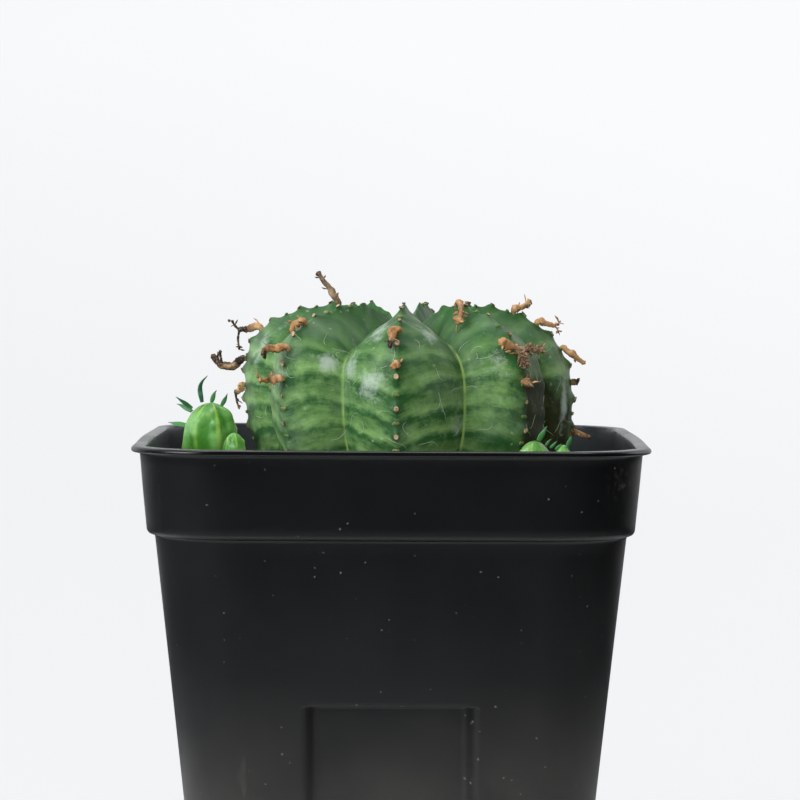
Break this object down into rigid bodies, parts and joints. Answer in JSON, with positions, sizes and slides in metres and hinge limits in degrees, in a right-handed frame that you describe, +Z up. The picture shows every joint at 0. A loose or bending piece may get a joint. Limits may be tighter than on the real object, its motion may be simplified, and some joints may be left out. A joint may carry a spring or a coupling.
{
  "type": "potted euphorbia",
  "caption": "Ball-shaped ribbed euphorbia with dried flower stalks and small offsets, growing in a square tapered nursery pot.",
  "frame": {"origin": "centre of the pot's base, on the surface it stands on", "axes": "+Z up, out of the pot; -Y towards the viewer; +X to the viewer's right"},
  "size_m": [0.092, 0.092, 0.1203],
  "materials": {
    "pot_plastic": "satin",
    "potting_mix": "matte",
    "stem_skin": "satin",
    "dried_stalk": "matte",
    "offset_skin": "satin",
    "leaf": "satin"
  },
  "bodies": {
    "root": {"pot": "pot_plastic", "soil": "potting_mix", "stem": "stem_skin", "stalk_tall": "dried_stalk", "stalk_left_forked": "dried_stalk", "stalk_left_dark": "dried_stalk", "stalk_left_low": "dried_stalk", "stalk_a_top": "dried_stalk", "stalk_a_upper": "dried_stalk", "stalk_a_lower": "dried_stalk", "stalk_b_upper": "dried_stalk", "stalk_b_stub": "dried_stalk", "stalk_c_top": "dried_stalk", "stalk_c_fork": "dried_stalk", "stalk_c_stub": "dried_stalk", "stalk_right_top": "dried_stalk", "stalk_right_forked": "dried_stalk", "stalk_right_long": "dried_stalk", "stalk_right_stub": "dried_stalk", "stalk_low": "dried_stalk", "stalk_back_high": "dried_stalk", "stalk_back_mid": "dried_stalk", "stalk_back_left": "dried_stalk", "stalk_back_left_stub": "dried_stalk", "stalk_back_right": "dried_stalk", "offset_left": "offset_skin", "offset_small": "offset_skin", "offset_right": "offset_skin", "offset_right_bud": "offset_skin", "leaf_left_tall": "leaf", "leaf_left_out": "leaf", "leaf_left_behind": "leaf", "leaf_left_middle": "leaf", "leaf_left_inner": "leaf", "leaf_left_low": "leaf", "leaf_right_upright": "leaf", "leaf_right_edge": "leaf"}
  },
  "joints": []
}
